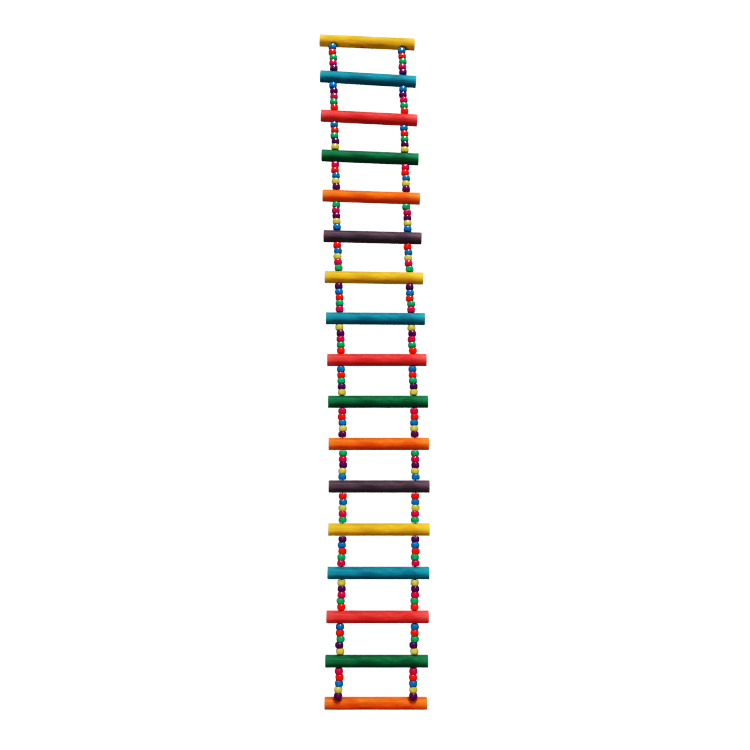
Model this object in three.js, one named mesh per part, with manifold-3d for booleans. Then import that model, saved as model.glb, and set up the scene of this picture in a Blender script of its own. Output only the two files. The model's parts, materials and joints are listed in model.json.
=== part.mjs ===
// A flexible bird ladder: dyed dowel rungs threaded on two cords, with a stack of pony beads
// as the spacer on each cord between every two rungs.
// Millimetres. +Z is up, +X runs along the rungs and the front of the ladder faces -Y.
// The origin is at the bottom centre of the box round the ladder as it hangs at rest.

import * as THREE from 'three';
import { mergeVertices } from 'three/addons/utils/BufferGeometryUtils.js';
import Module from 'manifold-3d';

const wasm = await Module();
wasm.setup();

// Driving dimensions: the rungs.
const rungCount = 17;
const rungLength = 127;
const rungDiameter = 16;
const rungChamfer = 0.6;
const railSpacing = 91.5;
const cordHoleDiameter = 2.4;
const hangingHoleDiameter = 5;
const hangingHoleOffset = -4;
const hangingHoleSkew = 16;

// Driving dimensions: the beads and the cords.
const beadsPerStack = 5;
const beadDiameter = 10.6;
const beadLength = 7.28;
const beadRounding = 1.9;
const beadRimRadius = 2.8;
const beadBoreDiameter = 4;
const cordDiameter = 1.6;
const cordTail = 9;
const tailDroop = 0.2;
const knotDiameter = 4.4;
const knotLength = 3.6;
const knotClearance = 0.3;

// Bare cord between a stack's end and the place where the cord bends. At the inner rungs that is
// the mouth of the hole. The two end rungs are turned so that their holes slope and they lie behind
// the beads: the cord comes straight out of the front mouth and bends where it meets the stack.
// At the bottom it bends just inside the last bead, so the gap there is less than nothing.
const mouthGap = 0.55;
const topGap = 1;
const bottomGap = -0.5;
const topStandOff = 3;
const bottomStandOff = 3.4;
const topDrillSlope = 48;
const bottomDrillSlope = 41;

// How the ladder hangs, in degrees: the upper rungs dip to the right, fading to level over
// levelAfter rungs, and the centre line leans right going down, then swings back near the foot.
const topRungDip = 2.6;
const upperDip = 4;
const levelAfter = 7.9;
const upperLean = 3.3;
const lowerLean = -1.7;
const leanTurnsFrom = 0.37;
const leanTurnsTo = 0.92;

// Facets round each kind of piece.
const rungSides = 20;
const beadSides = 12;
const holeSides = 10;
const knotSides = 10;
const cordArcSegments = 3;

const dyes = {
  yellow: 0xe0a818,
  teal: 0x0b8296,
  red: 0xd62a2e,
  green: 0x0a6a3c,
  orange: 0xec6a17,
  purple: 0x47333f,
};
const plastics = {
  purple: 0x4f0a55,
  yellow: 0xd6c83c,
  blue: 0x0a6ec4,
  pink: 0xdc0a50,
  green: 0x0aa055,
  red: 0xf51e05,
};
const rungColours = ['yellow', 'teal', 'red', 'green', 'orange', 'purple'];
const firstBeadColours = ['purple', 'yellow', 'blue', 'pink', 'green', 'red'];
const cordColour = 0x2a211c;

const rungRadius = rungDiameter / 2;
const stackLength = beadsPerStack * beadLength;
const gapCount = rungCount - 1;
const yAxis = new THREE.Vector3(0, 1, 0);
const zAxis = new THREE.Vector3(0, 0, 1);
const toRadians = THREE.MathUtils.degToRad;

// A closed solid of a geometry, for cutting.
function solidOf(geometry) {
  const plain = geometry.clone();
  plain.deleteAttribute('normal');
  plain.deleteAttribute('uv');
  const merged = mergeVertices(plain);
  return new wasm.Manifold(new wasm.Mesh({
    numProp: 3,
    vertProperties: new Float32Array(merged.attributes.position.array),
    triVerts: new Uint32Array(merged.index.array),
  }));
}

function geometryOf(solid) {
  const mesh = solid.getMesh();
  const geometry = new THREE.BufferGeometry();
  geometry.setAttribute('position', new THREE.BufferAttribute(new Float32Array(mesh.vertProperties), 3));
  geometry.setIndex(new THREE.BufferAttribute(new Uint32Array(mesh.triVerts), 1));
  geometry.computeVertexNormals();
  return geometry;
}

// A profile of [radius, height] pairs turned round Z.
function turned(profile, sides) {
  const points = profile.map(([radius, height]) => new THREE.Vector2(radius, height));
  return new THREE.LatheGeometry(points, sides).rotateX(Math.PI / 2);
}

// The direction, in a rung's own frame, from its axis to the mouth where a cord leaves it.
function drillDirection(rung, end) {
  if (rung === 0) {
    const slope = toRadians(topDrillSlope);
    const front = new THREE.Vector3(0, -Math.cos(slope), -Math.sin(slope));
    return end === 'lower' ? front : front.negate();
  }
  if (rung === rungCount - 1) {
    const slope = toRadians(bottomDrillSlope);
    const front = new THREE.Vector3(0, -Math.cos(slope), Math.sin(slope));
    return end === 'upper' ? front : front.negate();
  }
  return end === 'upper' ? zAxis.clone() : zAxis.clone().negate();
}

function makeDrill(diameter, direction) {
  const radius = diameter / 2;
  const drill = new THREE.CylinderGeometry(radius, radius, 2 * rungDiameter, holeSides);
  const turn = new THREE.Quaternion().setFromUnitVectors(yAxis, direction);
  return drill.applyQuaternion(turn);
}

// A chamfered dowel along X with a cord hole near each end. The top rung also has a hanging hole,
// drilled left of the middle and a little askew.
function makeRungGeometry(rung) {
  const half = rungLength / 2;
  const dowel = turned([
    [0, -half],
    [rungRadius - rungChamfer, -half],
    [rungRadius, -half + rungChamfer],
    [rungRadius, half - rungChamfer],
    [rungRadius - rungChamfer, half],
    [0, half],
  ], rungSides).rotateY(Math.PI / 2);
  let solid = solidOf(dowel);
  for (const side of [-1, 1]) {
    const drill = makeDrill(cordHoleDiameter, drillDirection(rung, 'upper'));
    drill.translate(side * railSpacing / 2, 0, 0);
    solid = solid.subtract(solidOf(drill));
  }
  if (rung === 0) {
    const askew = zAxis.clone().applyAxisAngle(yAxis, toRadians(hangingHoleSkew));
    const drill = makeDrill(hangingHoleDiameter, askew).translate(hangingHoleOffset, 0, 0);
    solid = solid.subtract(solidOf(drill));
  }
  return geometryOf(solid);
}

// Five barrel beads end to end, joined where their rims touch, with the bore running through.
function makeStackGeometry() {
  const bore = beadBoreDiameter / 2;
  const radius = beadDiameter / 2;
  const foot = -stackLength / 2;
  const profile = [[bore, foot], [beadRimRadius, foot]];
  for (let bead = 0; bead < beadsPerStack; bead += 1) {
    const low = foot + bead * beadLength;
    const high = low + beadLength;
    profile.push([radius, low + beadRounding], [radius, high - beadRounding], [beadRimRadius, high]);
  }
  profile.push([bore, -foot], [bore, foot]);
  return geometryOf(solidOf(turned(profile, beadSides)));
}

// A stopper knot drawn as a rounded collar round the cord.
function makeKnotGeometry() {
  const bore = cordDiameter / 2 + knotClearance;
  const radius = knotDiameter / 2;
  const half = knotLength / 2;
  const shoulder = half / 2;
  const profile = [
    [bore, -half],
    [(bore + radius) / 2, -half],
    [radius, -shoulder],
    [radius, shoulder],
    [(bore + radius) / 2, half],
    [bore, half],
    [bore, -half],
  ];
  return geometryOf(solidOf(turned(profile, knotSides)));
}

// A straight-sided path with one ring of the cord at each of its points.
class CordPath extends THREE.Curve {
  constructor(points) {
    super();
    this.points = points;
  }

  getPoint(t, target = new THREE.Vector3()) {
    const place = THREE.MathUtils.clamp(t, 0, 1) * (this.points.length - 1);
    const start = Math.min(Math.floor(place), this.points.length - 2);
    return target.lerpVectors(this.points[start], this.points[start + 1], place - start);
  }

  getUtoTmapping(u) {
    return u;
  }
}

function makeCordGeometry(points) {
  const section = new THREE.Shape();
  section.absarc(0, 0, cordDiameter / 2, 0, 2 * Math.PI);
  const tube = new THREE.ExtrudeGeometry(section, {
    steps: points.length - 1,
    curveSegments: cordArcSegments,
    extrudePath: new CordPath(points),
  });
  return geometryOf(solidOf(tube));
}

// Bare cord above or below the stack in a gap.
function gapAbove(gap) {
  return gap === 0 ? topGap : mouthGap;
}

function gapBelow(gap) {
  return gap === gapCount - 1 ? bottomGap : mouthGap;
}

// The side cords of a gap differ a little in length, because neighbouring rungs dip differently. A
// stack takes up half of the difference below it, but in the top gap all of it is left above.
function spareBelow(gap, cordLength) {
  const spare = cordLength - gapAbove(gap) - stackLength - gapBelow(gap);
  return gap === 0 ? 0 : spare / 2;
}

function dipOf(rung) {
  return toRadians(rung === 0 ? topRungDip : upperDip * Math.max(0, 1 - rung / levelAfter));
}

function leanOf(gap) {
  const share = THREE.MathUtils.smoothstep(gap / (gapCount - 1), leanTurnsFrom, leanTurnsTo);
  return toRadians(THREE.MathUtils.lerp(upperLean, lowerLean, share));
}

// How far from a rung's axis its cord bends: at the hole's mouth, or in front of an end rung.
function bendDistance(rung, end) {
  if (rung === 0 && end === 'lower') {
    return rungRadius + topStandOff;
  }
  if (rung === rungCount - 1 && end === 'upper') {
    return rungRadius + bottomStandOff;
  }
  return rungRadius;
}

// The centre of each rung, walking down the cord's bends from the top rung.
function placeRungs() {
  const places = [];
  const bend = new THREE.Vector3();
  for (let rung = 0; rung < rungCount; rung += 1) {
    const dip = dipOf(rung);
    const toBend = (end) => {
      const direction = drillDirection(rung, end).applyAxisAngle(yAxis, dip);
      return direction.multiplyScalar(bendDistance(rung, end));
    };
    const centre = bend.clone().sub(toBend('upper'));
    places.push({ centre, dip });
    if (rung < gapCount) {
      const lean = leanOf(rung);
      const drop = gapAbove(rung) + stackLength + gapBelow(rung);
      bend.copy(centre).add(toBend('lower'));
      bend.add(new THREE.Vector3(drop * Math.sin(lean), 0, -drop * Math.cos(lean)));
    }
  }
  return places;
}

const rungPlaces = placeRungs();

// A point given in a rung's own frame.
function fromRung(rung, point) {
  const { centre, dip } = rungPlaces[rung];
  return point.applyAxisAngle(yAxis, dip).add(centre);
}

// A point on a cord hole's axis, at a distance from the rung's axis towards one of its mouths.
function onDrill(rung, side, end, distance) {
  const point = drillDirection(rung, end).multiplyScalar(distance);
  point.x = side * railSpacing / 2;
  return fromRung(rung, point);
}

function bendPoint(rung, side, end) {
  return onDrill(rung, side, end, bendDistance(rung, end));
}

const knotCentreDistance = rungRadius + knotClearance + knotLength / 2;
const knotEndDistance = rungRadius + 2 * knotClearance + knotLength + cordDiameter / 2;
const tailDirection = new THREE.Vector3(0, 1, -tailDroop).normalize();

// Behind an end rung the cord leaves its knot and droops backwards.
function tailEnd(knotEnd) {
  return knotEnd.clone().addScaledVector(tailDirection, cordTail);
}

// The cord's course on one side: a tail, the top knot, a bend in front of the top rung, straight
// through the inner rungs, a bend in front of the bottom rung, the bottom knot and a tail.
function cordPoints(side) {
  const last = rungCount - 1;
  const topKnotEnd = onDrill(0, side, 'upper', knotEndDistance);
  const bottomKnotEnd = onDrill(last, side, 'lower', knotEndDistance);
  const points = [tailEnd(topKnotEnd), topKnotEnd, bendPoint(0, side, 'lower')];
  for (let rung = 1; rung < last; rung += 1) {
    points.push(bendPoint(rung, side, 'upper'), bendPoint(rung, side, 'lower'));
  }
  points.push(bendPoint(last, side, 'upper'), bottomKnotEnd, tailEnd(bottomKnotEnd));
  return points;
}

function addMesh(parent, name, geometry, colour, roughness) {
  const material = new THREE.MeshStandardMaterial({ color: colour, roughness, metalness: 0 });
  const mesh = new THREE.Mesh(geometry, material);
  mesh.name = name;
  parent.add(mesh);
  return mesh;
}

const woodRoughness = 0.6;
const plasticRoughness = 0.15;
const cordRoughness = 0.85;
const sides = [['left', -1], ['right', 1]];

const hanging = new THREE.Group();
const twoDigits = (index) => String(index + 1).padStart(2, '0');

for (let rung = 0; rung < rungCount; rung += 1) {
  const colour = rungColours[rung % rungColours.length];
  const name = `rung_${twoDigits(rung)}_${colour}`;
  const mesh = addMesh(hanging, name, makeRungGeometry(rung), dyes[colour], woodRoughness);
  mesh.position.copy(rungPlaces[rung].centre);
  mesh.quaternion.setFromAxisAngle(yAxis, rungPlaces[rung].dip);
}

const stackGeometry = makeStackGeometry();
for (let gap = 0; gap < gapCount; gap += 1) {
  const colour = firstBeadColours[gap % firstBeadColours.length];
  for (const [sideName, side] of sides) {
    const top = bendPoint(gap, side, 'lower');
    const foot = bendPoint(gap + 1, side, 'upper');
    const up = top.clone().sub(foot).normalize();
    const below = gapBelow(gap) + spareBelow(gap, top.distanceTo(foot));
    const name = `beads_${twoDigits(gap)}_${sideName}`;
    const mesh = addMesh(hanging, name, stackGeometry, plastics[colour], plasticRoughness);
    mesh.position.copy(foot).addScaledVector(up, below + stackLength / 2);
    mesh.quaternion.setFromUnitVectors(zAxis, up);
  }
}

const knotGeometry = makeKnotGeometry();
for (const [sideName, side] of sides) {
  addMesh(hanging, `cord_${sideName}`, makeCordGeometry(cordPoints(side)), cordColour, cordRoughness);
  for (const [place, rung, end] of [['top', 0, 'upper'], ['bottom', rungCount - 1, 'lower']]) {
    const knot = addMesh(hanging, `knot_${place}_${sideName}`, knotGeometry, cordColour, cordRoughness);
    knot.position.copy(onDrill(rung, side, end, knotCentreDistance));
    const axis = drillDirection(rung, end).applyAxisAngle(yAxis, rungPlaces[rung].dip);
    knot.quaternion.setFromUnitVectors(zAxis, axis);
  }
}

// Move the whole ladder so that the origin is at the bottom centre of its box.
hanging.updateMatrixWorld(true);
const box = new THREE.Box3().setFromObject(hanging, true);
const middle = box.getCenter(new THREE.Vector3());
hanging.position.set(-middle.x, -middle.y, -box.min.z);

const ladder = new THREE.Group();
ladder.add(hanging);

export default ladder;
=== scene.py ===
"""A flexible bird ladder: dyed dowel rungs threaded on two cords, with stacks of barrel beads as spacers.

Metres, in the frame of the CAD model. Places and main sizes are read from the CAD nodes and hinges."""

import json
import math
import random

import bmesh
import bpy
from mathutils import Matrix, Quaternion, Vector, noise


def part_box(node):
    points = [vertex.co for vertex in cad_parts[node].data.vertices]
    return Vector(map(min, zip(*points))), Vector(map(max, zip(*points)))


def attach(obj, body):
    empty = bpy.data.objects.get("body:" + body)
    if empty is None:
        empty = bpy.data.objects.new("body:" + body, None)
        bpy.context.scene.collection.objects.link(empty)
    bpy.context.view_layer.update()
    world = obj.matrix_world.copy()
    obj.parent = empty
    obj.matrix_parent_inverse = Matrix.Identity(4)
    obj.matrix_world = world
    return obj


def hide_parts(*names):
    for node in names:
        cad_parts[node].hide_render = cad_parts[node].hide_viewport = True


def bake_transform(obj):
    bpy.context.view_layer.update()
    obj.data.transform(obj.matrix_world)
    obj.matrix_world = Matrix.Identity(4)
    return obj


MM = 0.001
UP = Vector((0, 0, 1))

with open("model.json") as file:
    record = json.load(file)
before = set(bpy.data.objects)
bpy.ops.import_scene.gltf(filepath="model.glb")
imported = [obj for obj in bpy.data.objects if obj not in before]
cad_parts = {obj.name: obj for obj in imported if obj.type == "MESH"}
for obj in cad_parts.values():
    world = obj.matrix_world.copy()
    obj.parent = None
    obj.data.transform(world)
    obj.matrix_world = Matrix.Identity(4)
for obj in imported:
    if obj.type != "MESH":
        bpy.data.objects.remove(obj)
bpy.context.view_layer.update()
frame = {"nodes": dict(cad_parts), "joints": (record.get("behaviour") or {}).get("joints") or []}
joints = {joint["name"]: joint for joint in frame["joints"]}
rung_nodes = sorted(name for name in frame["nodes"] if name.startswith("rung_"))
RUNGS = len(rung_nodes)
GAPS = RUNGS - 1
BEADS_PER_STACK = 5
SIDES = {"left": -1, "right": 1}

# Sizes that the CAD nodes give, from a level rung and a stack near the middle. The smooth beads are
# made a little wider than the faceted CAD ones.
level_low, level_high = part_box(rung_nodes[GAPS])
RUNG_LENGTH = level_high.x - level_low.x
RUNG_RADIUS = (level_high.z - level_low.z) / 2
SMOOTH_BEAD_WIDENING = 1.025
middle_low, middle_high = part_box("beads_12_left")
BEAD_RADIUS = (middle_high.y - middle_low.y) / 2 * SMOOTH_BEAD_WIDENING

# Holes in the rungs. A drill breaks out a flare at each mouth, and the cutter reaches past the wood.
CORD_HOLE_RADIUS = 1.2 * MM
CORD_HOLE_FLARE = 0.544 * MM
HANGING_HOLE_RADIUS = 2.5 * MM
HANGING_HOLE_FLARE = 0.748 * MM
HANGING_HOLE_OFFSET = -4.0 * MM
HANGING_HOLE_SKEW = math.radians(16)
FLARE_DEPTH = 0.55 * MM
DRILL_OVERREACH = 2 * MM

# Chips where the hook has worn the top rung: middle along the rung, half length, degrees from upright
# towards the front, and depth.
CHIP_RADIUS = 1.5 * MM
CHIPS = (
    (-3.7 * MM, 5.2 * MM, 27, 0.6 * MM),
    (6.4 * MM, 4.4 * MM, 24, 1.1 * MM),
    (-5.0 * MM, 3.6 * MM, 150, 1.0 * MM),
)

# Beads, as moulded.
BEAD_LENGTH = 7.4 * MM
BEAD_CORNER = 1.75 * MM
BEAD_BELLY = 0.25 * MM
BORE_RADIUS = 2.0 * MM

# How the beads sit: the gap beside a rung, the room left in front of the bottom rung, the play sideways,
# how far the second bead takes up the lean of the first, and how far a bead tips.
REST_GAP = 0.3 * MM
FOOT_CLEARANCE = 0.35 * MM
BEAD_PLAY = 0.75 * MM
DEPTH_SHARE_OF_PLAY = 0.6
SHARED_LEAN = 0.4
BEAD_TIP = math.radians(1.0)

# The cord: its size, the curve where it bends at a rung, and the length of one turn of its strands.
CORD_RADIUS = 0.8 * MM
CORD_BEND = 1.4 * MM
LAY_LENGTH = 4.2 * MM

# The random draws of each stack start from its gap and its side.
GAP_SEED = 100
SIDE_SEEDS = {"left": 7, "right": 11}

# Bead colours down a stack, by the colour of the rung above it. The top two stacks differ.
STACKS = {
    "yellow": ("purple", "blue", "red", "green", "pink"),
    "teal": ("yellow", "purple", "pink", "green", "red"),
    "red": ("blue", "red", "green", "purple", "yellow"),
    "green": ("pink", "red", "blue", "yellow", "purple"),
    "orange": ("green", "pink", "purple", "yellow", "blue"),
    "purple": ("red", "blue", "yellow", "pink", "green"),
}
FIRST_STACKS = (
    ("blue", "red", "green", "pink", "purple"),
    ("blue", "purple", "pink", "green", "red"),
)


# ---------------------------------------------------------------------------- places, from the frame


def joint_place(name):
    return Vector(joints[name]["pos_m"])


def rung_place(index):
    """A rung's frame: the origin at its centre, X along it to the right, Z towards its upper mouth."""
    low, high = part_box(rung_nodes[index])
    centre = (low + high) / 2
    if index < GAPS:
        along = Vector(joints[f"swing_{index + 1:02d}"]["axis"])
        to_upper = centre - joint_place(f"swing_{index + 1:02d}")
    else:
        along = Vector(joints[f"tilt_{index + 1:02d}"]["axis"])
        to_upper = joint_place(f"tilt_{index + 1:02d}") - centre
    if along.x < 0:
        along.negate()
    upward = (to_upper - along * to_upper.dot(along)).normalized()
    across = upward.cross(along)
    turn = Matrix((along, across, upward)).transposed().to_4x4()
    return Matrix.Translation(centre) @ turn


def stack_centre(gap, side):
    low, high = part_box(f"beads_{gap + 1:02d}_{side}")
    return (low + high) / 2


def bend_distance(joint, rung):
    """How far from a rung's axis the hinge beside it lies."""
    low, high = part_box(rung)
    away = joint_place(joint) - (low + high) / 2
    along = Vector(joints[joint]["axis"])
    return (away - along * away.dot(along)).length


rung_places = [rung_place(index) for index in range(RUNGS)]
TOP_BEND = bend_distance("swing_01", rung_nodes[0])
BOTTOM_BEND = bend_distance(f"tilt_{RUNGS:02d}", rung_nodes[GAPS])
HALF_RAIL = (stack_centre(GAPS - 1, "right") - stack_centre(GAPS - 1, "left")).length / 2


def on_drill(index, side, distance):
    """A point on a cord hole's axis, at a distance from the rung's axis towards its upper mouth."""
    return rung_places[index] @ Vector((SIDES[side] * HALF_RAIL, 0, distance))


def cord_bend(index, side, towards):
    """Where the cord bends at a rung: at the hole's mouth, or in front of an end rung. Up is 1, down -1."""
    distances = {(0, -1): TOP_BEND, (GAPS, 1): BOTTOM_BEND}
    return on_drill(index, side, towards * distances.get((index, towards), RUNG_RADIUS))


# ------------------------------------------------------------------------------------- mesh helpers


def finished(name, mesh, place, offset, material, smooth_angle=math.radians(35)):
    """An object from a mesh in its own frame. Its own coordinates, in mm, are kept for its material."""
    spots = mesh.attributes.new("place", "FLOAT_VECTOR", "POINT")
    for index, vertex in enumerate(mesh.vertices):
        spots.data[index].vector = vertex.co / MM + offset
    mesh.transform(place)
    mesh.materials.append(material)
    mesh.shade_smooth()
    mesh.set_sharp_from_angle(angle=smooth_angle)
    piece = bpy.data.objects.new(name, mesh)
    bpy.context.scene.collection.objects.link(piece)
    return piece


def lathe(profile, sides, closed):
    """A mesh of a profile of (radius, height) pairs turned round Z."""
    shape = bmesh.new()
    rings = []
    for radius, height in profile:
        if radius < 1e-7:
            rings.append([shape.verts.new((0, 0, height))])
            continue
        ring = []
        for step in range(sides):
            angle = 2 * math.pi * step / sides
            ring.append(shape.verts.new((radius * math.cos(angle), radius * math.sin(angle), height)))
        rings.append(ring)
    pairs = list(zip(rings, rings[1:]))
    if closed:
        pairs.append((rings[-1], rings[0]))
    for low, high in pairs:
        for step in range(sides):
            after = (step + 1) % sides
            if len(low) == 1:
                shape.faces.new((low[0], high[after], high[step]))
            elif len(high) == 1:
                shape.faces.new((low[step], low[after], high[0]))
            else:
                shape.faces.new((low[step], low[after], high[after], high[step]))
    bmesh.ops.recalc_face_normals(shape, faces=shape.faces)
    mesh = bpy.data.meshes.new("lathe")
    shape.to_mesh(mesh)
    shape.free()
    return mesh


def arc(centre, radius, start, end, steps):
    """Points on an arc, as (radius, height) pairs, between two angles in degrees."""
    points = []
    for step in range(steps + 1):
        angle = math.radians(start + (end - start) * step / steps)
        points.append((centre[0] + radius * math.cos(angle), centre[1] + radius * math.sin(angle)))
    return points


def cut(mesh, cutters):
    """The mesh with each cutter mesh taken away from it."""
    body = bpy.data.objects.new("body", mesh)
    bpy.context.scene.collection.objects.link(body)
    for cutter in cutters:
        tool = bpy.data.objects.new("tool", cutter)
        bpy.context.scene.collection.objects.link(tool)
        modifier = body.modifiers.new("cut", "BOOLEAN")
        modifier.operation = "DIFFERENCE"
        modifier.solver = "EXACT"
        modifier.object = tool
        graph = bpy.context.evaluated_depsgraph_get()
        result = bpy.data.meshes.new_from_object(body.evaluated_get(graph), depsgraph=graph)
        body.modifiers.clear()
        body.data = result
        bpy.data.objects.remove(tool)
    result = body.data
    bpy.data.objects.remove(body)
    return result


# ---------------------------------------------------------------------------------------- materials


class Nodes:
    """A material's node tree, with short calls for the nodes used here."""

    def __init__(self, name):
        self.material = bpy.data.materials.new(name)
        self.material.use_nodes = True
        self.tree = self.material.node_tree
        self.shader = self.tree.nodes["Principled BSDF"]

    def put(self, socket, value):
        if isinstance(value, bpy.types.NodeSocket):
            self.tree.links.new(value, socket)
        else:
            socket.default_value = value

    def add(self, kind, **inputs):
        made = self.tree.nodes.new(kind)
        for key, value in inputs.items():
            self.put(made.inputs[key], value)
        return made

    def set(self, **inputs):
        for key, value in inputs.items():
            self.put(self.shader.inputs[key.replace("_", " ")], value)

    def place(self):
        """The surface's own coordinates in millimetres."""
        made = self.tree.nodes.new("ShaderNodeAttribute")
        made.attribute_name = "place"
        return made.outputs["Vector"]

    def maths(self, operation, first, second=0.0, third=0.0):
        made = self.tree.nodes.new("ShaderNodeMath")
        made.operation = operation
        for socket, value in zip(made.inputs, (first, second, third)):
            self.put(socket, value)
        return made.outputs[0]

    def scaled(self, vector, scale):
        made = self.tree.nodes.new("ShaderNodeVectorMath")
        made.operation = "MULTIPLY"
        self.put(made.inputs[0], vector)
        self.put(made.inputs[1], scale)
        return made.outputs[0]

    def noise(self, vector, detail=3.0, roughness=0.5, distortion=0.0):
        """Noise from 0 to 1, mostly near 0.5. The vector is scaled by what is wanted per millimetre."""
        made = self.add("ShaderNodeTexNoise", Vector=vector, Scale=1.0, Detail=detail,
                        Roughness=roughness, Distortion=distortion)
        return made.outputs["Fac"]

    def ranged(self, value, low, high, to_low=0.0, to_high=1.0):
        """The value eased from one range to another."""
        made = self.tree.nodes.new("ShaderNodeMapRange")
        made.interpolation_type = "SMOOTHSTEP"
        for socket, number in zip(made.inputs, (value, low, high, to_low, to_high)):
            self.put(socket, number)
        return made.outputs[0]

    def mix(self, share, first, second):
        """The first colour where share is 0, the second where it is 1."""
        made = self.tree.nodes.new("ShaderNodeMix")
        made.data_type = "RGBA"
        self.put(made.inputs["Factor"], share)
        self.put(made.inputs[6], first)
        self.put(made.inputs[7], second)
        return made.outputs[2]

    def bump(self, height, distance, strength=1.0):
        made = self.add("ShaderNodeBump", Height=height, Distance=distance, Strength=strength)
        self.set(Normal=made.outputs["Normal"])


def shade(colour, factor):
    """A colour made lighter or darker, with its alpha kept at 1."""
    return tuple(min(1.0, part * factor) for part in colour[:3]) + (1.0,)


def linear(red, green, blue):
    """A scene-linear colour from 0-255 display values."""
    display_gamma = 2.2
    return tuple((part / 255) ** display_gamma for part in (red, green, blue)) + (1.0,)


def dyed_wood(name, main, streak, stain, bare):
    """Dyed dowel: long streaks, blotches where the dye soaked in, pores, end grain, pale rubbed ends."""
    nodes = Nodes(name)
    place = nodes.place()
    split = nodes.add("ShaderNodeSeparateXYZ", Vector=place)
    along = nodes.maths("ABSOLUTE", split.outputs["X"])
    half = RUNG_LENGTH / 2 / MM

    # Long grain, with slow wander, so that streaks run the dowel's length and drift a little.
    wander = nodes.noise(nodes.scaled(place, (0.018, 0.11, 0.11)), detail=2.0)
    grain_place = nodes.scaled(place, (0.022, 0.95, 0.95))
    lean = nodes.tree.nodes.new("ShaderNodeVectorMath")
    lean.operation = "ADD"
    nodes.put(lean.inputs[0], grain_place)
    nodes.put(lean.inputs[1], nodes.scaled(wander, (0.0, 2.2, 2.2)))
    grain = nodes.noise(lean.outputs[0], detail=5.0, roughness=0.62, distortion=0.25)
    fibres = nodes.noise(nodes.scaled(place, (0.11, 5.5, 5.5)), detail=3.0, roughness=0.6)
    pores = nodes.ranged(nodes.noise(nodes.scaled(place, (0.32, 4.2, 4.2)), detail=2.0), 0.28, 0.38)
    blotches = nodes.noise(nodes.scaled(place, (0.035, 0.16, 0.16)), detail=3.0, roughness=0.55)

    colour = nodes.mix(nodes.ranged(grain, 0.38, 0.62), streak, main)
    colour = nodes.mix(nodes.ranged(blotches, 0.50, 0.72, 0.0, 0.75), colour, stain)
    colour = nodes.mix(nodes.ranged(fibres, 0.35, 0.65, 0.30, 0.0), colour, shade(streak, 0.55))
    deepest_pore = 0.6
    pore_shade = nodes.maths("MULTIPLY_ADD", pores, -deepest_pore, deepest_pore)
    colour = nodes.mix(pore_shade, colour, shade(stain, 0.5))
    soaked = nodes.scaled(colour, (0.84, 0.84, 0.84))
    dry = nodes.scaled(colour, (1.15, 1.15, 1.15))
    colour = nodes.mix(nodes.ranged(wander, 0.36, 0.64), soaked, dry)

    # The sawn ends soak up more dye and show wavy rings.
    radius = nodes.maths("SQRT", nodes.maths("ADD",
                         nodes.maths("POWER", split.outputs["Y"], 2.0),
                         nodes.maths("POWER", split.outputs["Z"], 2.0)))
    rings = nodes.noise(nodes.scaled(place, (0.0, 0.35, 0.35)), detail=2.0)
    ring_angle = nodes.maths("MULTIPLY_ADD", radius, 3.4, nodes.maths("MULTIPLY", rings, 9.0))
    dark_rings = nodes.ranged(nodes.maths("SINE", ring_angle), -0.9, 0.9, 0.15, 0.75)
    end_colour = nodes.mix(dark_rings, shade(main, 0.55), shade(streak, 0.85))
    on_end = nodes.ranged(along, half - 0.12, half - 0.02)

    # The last millimetres before an end are rubbed pale, and the dye is thin for some way in.
    worn = nodes.noise(nodes.scaled(place, (0.5, 0.7, 0.7)), detail=4.0, roughness=0.65)
    rub_start = nodes.maths("SUBTRACT", half, nodes.maths("MULTIPLY", worn, 3.2))
    rubbed = nodes.ranged(nodes.maths("SUBTRACT", along, rub_start), -1.2, 1.6)
    thin_dye = nodes.maths("MULTIPLY_ADD", blotches, 22.0, along)
    colour = nodes.mix(nodes.ranged(thin_dye, half - 6.0, half + 10.0, 0.0, 0.24), colour, bare)
    colour = nodes.mix(nodes.maths("MULTIPLY", rubbed, 0.34), colour, bare)
    colour = nodes.mix(on_end, colour, end_colour)

    height = nodes.maths("MULTIPLY_ADD", fibres, 0.35, nodes.maths("MULTIPLY", grain, 0.4))
    height = nodes.maths("MULTIPLY_ADD", pores, 0.5, height)
    nodes.bump(height, 0.09 * MM, 0.9)
    nodes.set(Base_Color=colour, Roughness=nodes.ranged(fibres, 0.3, 0.7, 0.62, 0.48),
              Specular_IOR_Level=0.14)
    return nodes.material


def bead_plastic(name, main, deep, cloud):
    """Moulded plastic: faint flow swirls in the colour, a high gloss with light handling scuffs."""
    nodes = Nodes(name)
    place = nodes.place()
    swirl = nodes.noise(nodes.scaled(place, (0.22, 0.22, 0.34)), detail=3.0, roughness=0.5, distortion=1.4)
    specks = nodes.noise(nodes.scaled(place, (1.9, 1.9, 1.9)), detail=2.0)
    scuffs = nodes.noise(nodes.scaled(place, (3.2, 3.2, 0.9)), detail=4.0, roughness=0.7)
    colour = nodes.mix(nodes.ranged(swirl, 0.36, 0.64), deep, main)
    colour = nodes.mix(nodes.ranged(specks, 0.58, 0.74, 0.0, cloud), colour, shade(main, 1.6))
    nodes.bump(nodes.maths("MULTIPLY_ADD", scuffs, 0.25, swirl), 0.03 * MM, 0.35)
    nodes.set(Base_Color=colour, Roughness=nodes.ranged(scuffs, 0.45, 0.75, 0.14, 0.30),
              Subsurface_Weight=0.12, Subsurface_Radius=(1.0, 1.0, 1.0), Subsurface_Scale=0.6 * MM,
              Coat_Weight=0.6, Coat_Roughness=0.05, IOR=1.5)
    return nodes.material


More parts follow.
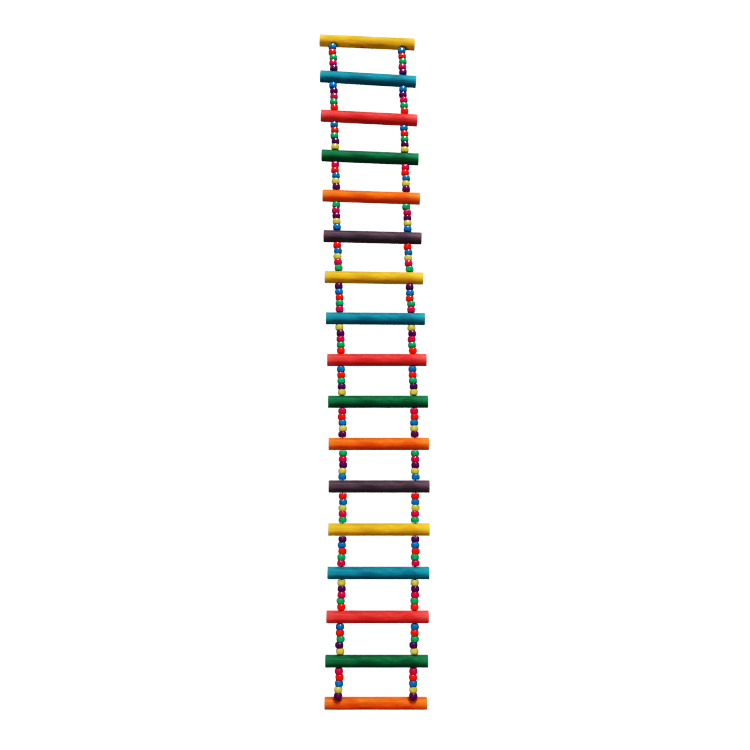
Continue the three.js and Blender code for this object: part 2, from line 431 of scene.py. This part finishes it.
def twisted_cord(name, main, groove_shade):
    """Waxed nylon twine: fine filaments along the lay, with painted shade in the grooves, and a low sheen.
    """
    nodes = Nodes(name)
    place = nodes.place()
    lay = nodes.noise(nodes.scaled(place, (3.0, 3.0, 0.5)), detail=3.0, roughness=0.6)
    dust = nodes.noise(nodes.scaled(place, (0.7, 0.7, 0.7)), detail=2.0)
    # Painted shade: the colour darkens where the lay's bump sinks, in its grooves.
    colour = nodes.mix(nodes.ranged(lay, 0.35, 0.65), groove_shade, main)
    colour = nodes.mix(nodes.ranged(dust, 0.55, 0.8, 0.0, 0.3), colour, shade(main, 1.9))
    nodes.bump(lay, 0.06 * MM, 0.8)
    nodes.set(Base_Color=colour, Roughness=nodes.ranged(lay, 0.3, 0.7, 0.75, 0.5), Sheen_Weight=0.25)
    return nodes.material


WOODS = {
    "yellow": dyed_wood("wood_yellow", linear(216, 160, 52), linear(226, 176, 70),
                        linear(202, 130, 34), linear(234, 194, 104)),
    "teal": dyed_wood("wood_teal", linear(38, 120, 136), linear(50, 142, 156),
                      linear(16, 84, 116), linear(80, 160, 166)),
    "red": dyed_wood("wood_red", linear(214, 68, 66), linear(226, 92, 90),
                     linear(196, 40, 40), linear(230, 120, 116)),
    "green": dyed_wood("wood_green", linear(36, 102, 74), linear(46, 120, 90),
                       linear(20, 72, 48), linear(64, 136, 100)),
    "orange": dyed_wood("wood_orange", linear(230, 102, 38), linear(238, 122, 56),
                        linear(220, 72, 24), linear(240, 148, 90)),
    "purple": dyed_wood("wood_purple", linear(84, 73, 80), linear(104, 91, 102),
                        linear(70, 52, 56), linear(124, 96, 98)),
}
PLASTICS = {
    "purple": bead_plastic("bead_purple", linear(111, 36, 111), linear(94, 22, 92), 0.25),
    "yellow": bead_plastic("bead_yellow", linear(204, 190, 107), linear(188, 172, 80), 0.6),
    "blue": bead_plastic("bead_blue", linear(8, 131, 182), linear(0, 112, 166), 0.3),
    "pink": bead_plastic("bead_pink", linear(218, 22, 102), linear(194, 12, 82), 0.3),
    "green": bead_plastic("bead_green", linear(6, 171, 118), linear(0, 150, 100), 0.3),
    "red": bead_plastic("bead_red", linear(248, 55, 30), linear(234, 36, 12), 0.3),
}
CORD = twisted_cord("cord", linear(58, 48, 42), linear(26, 20, 18))


# --------------------------------------------------------------------------------------------- rungs


def dowel_mesh(seed):
    """A round dowel along X, sawn a little rough and hardly out of round, with softened end edges."""
    around, stations = 96, 44
    half = RUNG_LENGTH / 2
    edge = 0.55 * MM
    profile = [(0.0, -half), (RUNG_RADIUS * 0.5, -half)]
    profile += arc((RUNG_RADIUS - edge, -half + edge), edge, -90, 0, 3)
    reach = half - edge
    for station in range(1, stations):
        profile.append((RUNG_RADIUS, -reach + 2 * reach * station / stations))
    profile += arc((RUNG_RADIUS - edge, half - edge), edge, 0, 90, 3)
    profile += [(RUNG_RADIUS * 0.5, half), (0.0, half)]
    mesh = lathe(profile, around, closed=False)
    mesh.transform(Matrix.Rotation(math.radians(90), 4, "Y"))
    shift = Vector((seed * 7.3, seed * 3.1, 0))
    wave, waviness = 0.035 / MM, 0.07 * MM
    saw_marks, saw_depth = 0.5 / MM, 0.08 * MM
    for vertex in mesh.vertices:
        radial = Vector((0, vertex.co.y, vertex.co.z))
        if radial.length > RUNG_RADIUS * 0.9:
            lift = noise.noise(vertex.co * wave + shift) * waviness
            vertex.co += radial.normalized() * lift
        if abs(vertex.co.x) > half - edge * 0.5:
            vertex.co.x += noise.noise(vertex.co * saw_marks + shift) * saw_depth
    return mesh


def drill_mesh(radius, flare):
    """A cutter along Z for a hole through a rung, wider by the flare at its two ends."""
    reach = RUNG_RADIUS + DRILL_OVERREACH
    waist = RUNG_RADIUS - FLARE_DEPTH
    profile = [(0.0, -reach), (radius + flare, -reach), (radius, -waist),
               (radius, waist), (radius + flare, reach), (0.0, reach)]
    return lathe(profile, 40, closed=False)


def hanging_hole_meshes(place):
    """Cutters for the skewed hole the ladder hangs by, and for the chips its hook has worn beside it."""
    upright = place.to_3x3().inverted() @ UP
    upright = Vector((0, upright.y, upright.z)).normalized()
    sideways = Vector((1, 0, 0))
    axis = upright * math.cos(HANGING_HOLE_SKEW) + sideways * math.sin(HANGING_HOLE_SKEW)
    hole = drill_mesh(HANGING_HOLE_RADIUS, HANGING_HOLE_FLARE)
    hole.transform(UP.rotation_difference(axis).to_matrix().to_4x4())
    hole.transform(Matrix.Translation(sideways * HANGING_HOLE_OFFSET))
    cutters = [hole]
    front = sideways.cross(upright)
    for offset, half_length, turned, depth in CHIPS:
        chip = lathe(arc((0, 0), CHIP_RADIUS, -90, 90, 8), 16, closed=False)
        chip.transform(Matrix.Diagonal((1, 1, half_length / CHIP_RADIUS, 1)))
        chip.transform(Matrix.Rotation(math.radians(90), 4, "Y"))
        tilt = math.radians(turned)
        rim = (upright * math.cos(tilt) + front * math.sin(tilt)) * (RUNG_RADIUS + CHIP_RADIUS - depth)
        chip.transform(Matrix.Translation(sideways * offset + rim))
        cutters.append(chip)
    return cutters


def make_rung(index):
    """One rung with its two cord holes, and the hanging hole if it is the top one."""
    colour = rung_nodes[index].split("_")[2]
    place = rung_places[index]
    body = f"rung_{index + 1:02d}"
    cutters = []
    for side in SIDES.values():
        drill = drill_mesh(CORD_HOLE_RADIUS, CORD_HOLE_FLARE)
        drill.transform(Matrix.Translation((side * HALF_RAIL, 0, 0)))
        cutters.append(drill)
    if index == 0:
        cutters += hanging_hole_meshes(place)
    mesh = cut(dowel_mesh(index), cutters)
    piece = finished(f"dowel_{index + 1:02d}_{colour}", mesh, place, Vector((0, 0, 0)), WOODS[colour])
    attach(piece, body)
    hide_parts(rung_nodes[index])


# --------------------------------------------------------------------------------------------- beads


def bead_mesh():
    """A barrel bead along Z: flat rims, rounded shoulders, a slight belly and a fine mould line."""
    hairline, bore_edge, seam = 0.02 * MM, 0.25 * MM, 0.03 * MM
    half = BEAD_LENGTH / 2 - hairline
    shoulder = half - BEAD_CORNER
    wall_radius = BEAD_RADIUS - BEAD_BELLY
    outer = arc((wall_radius - BEAD_CORNER, -shoulder), BEAD_CORNER, -90, -17, 8)
    for height in (-0.75, -0.5, -0.25, -0.06):
        outer.append((wall_radius + BEAD_BELLY * (1 - height ** 2), height * shoulder))
    outer.append((BEAD_RADIUS + seam, 0.0))
    outer += [(radius, -height) for radius, height in reversed(outer[:-1])]
    top_bore = arc((BORE_RADIUS + bore_edge, half - bore_edge), bore_edge, 90, 180, 3)
    foot_bore = [(radius, -height) for radius, height in reversed(top_bore)]
    return lathe(outer + top_bore + foot_bore, 48, closed=True)


def stack_ends(gap, side):
    """The top and foot of a stack: close against the rungs, except where a bend lies before an end rung."""
    top = cord_bend(gap, side, -1)
    foot = cord_bend(gap + 1, side, 1)
    upward = (top - foot).normalized()
    low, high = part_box(f"beads_{gap + 1:02d}_{side}")
    top_gap = top.z - high.z if gap == 0 else REST_GAP
    foot_gap = low.z - foot.z if gap == GAPS - 1 else REST_GAP
    return top - upward * top_gap, foot + upward * foot_gap, upward


def rung_normal(index, towards):
    """The line of a rung's cord holes, or None where the cord bends in front of an end rung."""
    if (index, towards) in ((0, -1), (GAPS, 1)):
        return None
    return rung_places[index].to_3x3() @ UP


def make_stack(gap, side, template):
    """Five loose beads: the end ones lie flush with the rungs, and each has slipped a little sideways."""
    chance = random.Random(GAP_SEED * gap + SIDE_SEEDS[side])
    above = rung_nodes[gap].split("_")[2]
    colours = FIRST_STACKS[gap] if gap < len(FIRST_STACKS) else STACKS[above]
    top, foot, upward = stack_ends(gap, side)
    pitch = (top - foot).length / BEADS_PER_STACK
    upper_normal = rung_normal(gap, -1) or upward
    lower_normal = rung_normal(gap + 1, 1) or upward
    leans = (
        upper_normal,
        upward.lerp(upper_normal, SHARED_LEAN),
        upward,
        upward.lerp(lower_normal, SHARED_LEAN),
        lower_normal,
    )
    for count, colour in enumerate(colours):
        middle = top - upward * (count + 0.5) * pitch
        at_rung = count in (0, BEADS_PER_STACK - 1)
        slip = chance.uniform(-BEAD_PLAY, BEAD_PLAY)
        sideways = Vector((slip, chance.uniform(-BEAD_PLAY, BEAD_PLAY) * DEPTH_SHARE_OF_PLAY, 0))
        tip = Quaternion((chance.uniform(-1, 1), chance.uniform(-1, 1), 0), BEAD_TIP)
        if at_rung:
            sideways.y = 0.0
            tip = Quaternion()
        if gap == GAPS - 1 and count == BEADS_PER_STACK - 1:
            sideways.y = -FOOT_CLEARANCE
        spin = Quaternion(UP, chance.uniform(0, 2 * math.pi))
        turn = UP.rotation_difference(leans[count].normalized()) @ tip @ spin
        stretch = Matrix.Diagonal((1, 1, pitch / BEAD_LENGTH, 1))
        place = Matrix.Translation(middle + sideways) @ turn.to_matrix().to_4x4() @ stretch
        offset = Vector([chance.uniform(-50, 50) for _ in range(3)])
        name = f"bead_{gap + 1:02d}_{side}_{count + 1}_{colour}"
        piece = finished(name, template.copy(), place, offset, PLASTICS[colour])
        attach(piece, f"section_{gap + 1:02d}")
        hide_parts(f"beads_{gap + 1:02d}_{side}")


# --------------------------------------------------------------------------------------------- cords


def rounded_path(points, reach, steps=6):
    """The points joined by straight runs, with a curve that starts and ends within reach of each corner."""
    path = [points[0]]
    for before, corner, after in zip(points, points[1:], points[2:]):
        back = (before - corner).normalized() * min(reach, (before - corner).length / 2)
        ahead = (after - corner).normalized() * min(reach, (after - corner).length / 2)
        for step in range(steps + 1):
            t = step / steps
            start, end = corner + back, corner + ahead
            path.append((1 - t) ** 2 * start + 2 * t * (1 - t) * corner + t ** 2 * end)
    path.append(points[-1])
    return path


def even_steps(path, spacing):
    """Points along a path at an even spacing, with its last point too unless that lies very close."""
    result = [path[0]]
    left = spacing
    for start, end in zip(path, path[1:]):
        run = (end - start).length
        done = 0.0
        while run - done >= left:
            done += left
            result.append(start.lerp(end, done / run))
            left = spacing
        left -= run - done
    if (path[-1] - result[-1]).length > spacing * 0.3:
        result.append(path[-1])
    return result


def rope_mesh(path, spacing=0.45 * MM):
    """Three strands laid up with a right-hand twist, swept along a path, with closed ends."""
    centres = even_steps(path, spacing)
    strands, around = 3, 24
    groove, roundness = 0.24, 0.8
    shape = bmesh.new()
    side = (centres[1] - centres[0]).orthogonal().normalized()
    rings = []
    travelled = 0.0
    for index, centre in enumerate(centres):
        before = centres[max(index - 1, 0)]
        after = centres[min(index + 1, len(centres) - 1)]
        forward = (after - before).normalized()
        side = (side - forward * side.dot(forward)).normalized()
        third = forward.cross(side)
        travelled += (centre - before).length
        ring = []
        for step in range(around):
            angle = 2 * math.pi * step / around
            twist = 2 * math.pi * travelled / LAY_LENGTH
            lobe = abs(math.cos(strands * (angle - twist) / 2))
            radius = CORD_RADIUS * (1 - groove + groove * lobe ** roundness)
            outward = side * math.cos(angle) + third * math.sin(angle)
            ring.append(shape.verts.new(centre + outward * radius))
        rings.append(ring)
    for low, high in zip(rings, rings[1:]):
        for step in range(around):
            after = (step + 1) % around
            shape.faces.new((low[step], low[after], high[after], high[step]))
    shape.faces.new(list(reversed(rings[0])))
    shape.faces.new(rings[-1])
    bmesh.ops.recalc_face_normals(shape, faces=shape.faces)
    mesh = bpy.data.meshes.new("rope")
    shape.to_mesh(mesh)
    shape.free()
    return mesh


def make_cord_piece(name, path, node):
    """A length of cord that stands in for a CAD node, not yet on a body."""
    piece = finished(name, rope_mesh(path), Matrix.Identity(4), Vector((0, 0, 0)), CORD, math.radians(60))
    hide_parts(node)
    return piece


def make_gap_cords(gap, side):
    """The cord in one gap, in two lengths that meet inside the beads. Each bends at its rung."""
    middle = stack_centre(gap, side)
    for label, rung, towards in (("upper", gap, -1), ("lower", gap + 1, 1)):
        corner = cord_bend(rung, side, towards)
        path = rounded_path([on_drill(rung, side, 0.0), corner, middle], CORD_BEND)
        piece = make_cord_piece(f"string_{side}_{gap + 1:02d}_{label}", path, f"cord_{side}")
        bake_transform(piece)


def make_end_knot(label, rung, side):
    """The cord behind an end rung: out of the hole's back mouth, a two-turn stopper knot, a tail."""
    node = f"knot_{label}_{side}"
    sign = 1 if rung == 0 else -1
    core = on_drill(rung, side, 0.0)
    mouth = on_drill(rung, side, sign * RUNG_RADIUS)
    axis = (mouth - core).normalized()
    sideways = rung_places[rung].to_3x3() @ Vector((1, 0, 0))
    third = axis.cross(sideways)
    coil_radius, pitch, stand_off = 1.9 * CORD_RADIUS, 1.95 * CORD_RADIUS, 1.1 * CORD_RADIUS
    turns, steps = 2, 48
    first_bit, tail_length, corner_reach = 2.2 * MM, 6 * MM, 0.8 * MM
    far = mouth + axis * stand_off + axis * (turns * pitch + CORD_RADIUS)
    points = [core, far]
    for step in range(steps + 1):
        t = step / steps
        angle = 2 * math.pi * turns * t
        round_it = sideways * math.cos(angle) + third * math.sin(angle)
        points.append(far - axis * (turns * pitch * t) + round_it * coil_radius)
    tail_way = Vector((0.25 * SIDES[side], 1, -0.2)).normalized()
    points.append(points[-1] + (tail_way + sideways * 0.4) * first_bit)
    points.append(points[-1] + tail_way * tail_length)
    path = rounded_path(points, corner_reach, 3)
    piece = make_cord_piece(f"stopper_{label}_{side}", path, node)
    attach(piece, f"rung_{rung + 1:02d}")


# -------------------------------------------------------------------------------- stage and lights

LADDER_MIDDLE = Vector((0, 0, 0.44))

# The world's strength rises with height, between two heights of a direction on the unit sphere.
WORLD_HEIGHTS = (-0.6, 1.0)
WORLD_STRENGTHS = (0.06, 0.36)

CAMERA_PLACE = (0.00273, -1.3097, 0.2607)
CAMERA_PITCH = math.radians(6.9)
CAMERA_LENS = 49.35
CAMERA_SENSOR = 36.0

# Light in the scene against light in the picture, from deep tones to light ones.
CONTRAST = ((0.03, 0.006), (0.09, 0.037), (0.2, 0.175), (0.38, 0.43), (0.62, 0.70), (0.9, 0.88))


def make_floor():
    """A pale sheet that lies below the ladder and sweeps up behind it. It lights and shades nothing."""
    front, back, bottom, top, bend, half_width = -4.0, 2.2, -0.45, 4.0, 1.2, 6.0
    steps = 12
    outline = [(front, bottom), (back - bend, bottom)]
    for step in range(1, steps + 1):
        angle = math.radians(90 * step / steps)
        outline.append((back - bend + bend * math.sin(angle), bottom + bend - bend * math.cos(angle)))
    outline.append((back, top))
    shape = bmesh.new()
    pairs = []
    for depth, height in outline:
        pairs.append([shape.verts.new((x, depth, height)) for x in (-half_width, half_width)])
    for first, second in zip(pairs, pairs[1:]):
        shape.faces.new((first[0], first[1], second[1], second[0]))
    mesh = bpy.data.meshes.new("floor")
    shape.to_mesh(mesh)
    shape.free()
    mesh.shade_smooth()
    nodes = Nodes("pale_floor")
    nodes.set(Base_Color=(0.93, 0.93, 0.93, 1), Roughness=0.9,
              Emission_Color=(1, 1, 1, 1), Emission_Strength=0.62)
    mesh.materials.append(nodes.material)
    floor = bpy.data.objects.new("floor", mesh)
    bpy.context.scene.collection.objects.link(floor)
    floor.visible_diffuse = False
    floor.visible_glossy = False
    floor.visible_shadow = False


def make_softbox(name, place, size, power):
    """A soft rectangular lamp that faces the ladder's middle."""
    lamp = bpy.data.lights.new(name, "AREA")
    lamp.shape = "RECTANGLE"
    lamp.size, lamp.size_y = size
    lamp.energy = power
    holder = bpy.data.objects.new(name, lamp)
    bpy.context.scene.collection.objects.link(holder)
    holder.location = place
    holder.rotation_mode = "QUATERNION"
    holder.rotation_quaternion = (LADDER_MIDDLE - Vector(place)).to_track_quat("-Z", "Y")
    return holder


def make_world():
    """Pale light all round for the object, brighter from above, and plain white to the camera."""
    world = bpy.data.worlds.new("studio")
    world.use_nodes = True
    tree = world.node_tree
    background = tree.nodes["Background"]
    place = tree.nodes.new("ShaderNodeTexCoord")
    split = tree.nodes.new("ShaderNodeSeparateXYZ")
    tree.links.new(place.outputs["Generated"], split.inputs[0])
    height = tree.nodes.new("ShaderNodeMapRange")
    for socket, number in zip(height.inputs[1:], WORLD_HEIGHTS + WORLD_STRENGTHS):
        socket.default_value = number
    tree.links.new(split.outputs["Z"], height.inputs[0])
    rays = tree.nodes.new("ShaderNodeLightPath")
    seen = tree.nodes.new("ShaderNodeMix")
    seen.data_type = "FLOAT"
    tree.links.new(rays.outputs["Is Camera Ray"], seen.inputs["Factor"])
    tree.links.new(height.outputs[0], seen.inputs[2])
    seen.inputs[3].default_value = 1.0
    tree.links.new(seen.outputs[0], background.inputs["Strength"])
    background.inputs["Color"].default_value = (1, 1, 1, 1)
    bpy.context.scene.world = world


def make_camera():
    """A long lens in front of the ladder's lower half, looking slightly up."""
    lens = bpy.data.cameras.new("camera")
    lens.lens = CAMERA_LENS
    lens.sensor_width = CAMERA_SENSOR
    holder = bpy.data.objects.new("camera", lens)
    bpy.context.scene.collection.objects.link(holder)
    holder.location = CAMERA_PLACE
    holder.rotation_euler = (math.radians(90) + CAMERA_PITCH, 0, 0)
    bpy.context.scene.camera = holder


def set_contrast():
    """The crisp contrast of a product picture: deep tones are deepened and mid tones lifted a little."""
    view = bpy.context.scene.view_settings
    view.view_transform = "Standard"
    view.use_curve_mapping = True
    all_channels = 3
    tones = view.curve_mapping.curves[all_channels]
    for scene_value, shown_value in CONTRAST:
        tones.points.new(scene_value, shown_value)
    view.curve_mapping.update()


# -------------------------------------------------------------------------------------------- build

for rung_index in range(RUNGS):
    make_rung(rung_index)
bead_template = bead_mesh()
for gap_index in range(GAPS):
    for side_name in SIDES:
        make_stack(gap_index, side_name, bead_template)
        make_gap_cords(gap_index, side_name)
for side_name in SIDES:
    make_end_knot("top", 0, side_name)
    make_end_knot("bottom", GAPS, side_name)

make_floor()
make_world()
make_softbox("key", (0.6, -2.6, 3.6), (1.5, 1.2), 180)
fill = make_softbox("fill", (-1.2, -3.2, -2.4), (2.0, 1.4), 65)
fill.visible_glossy = False
back = make_softbox("back", (0.8, 3.0, 1.2), (2.0, 2.0), 90)
back.visible_glossy = False
back.visible_camera = False
make_camera()
set_contrast()
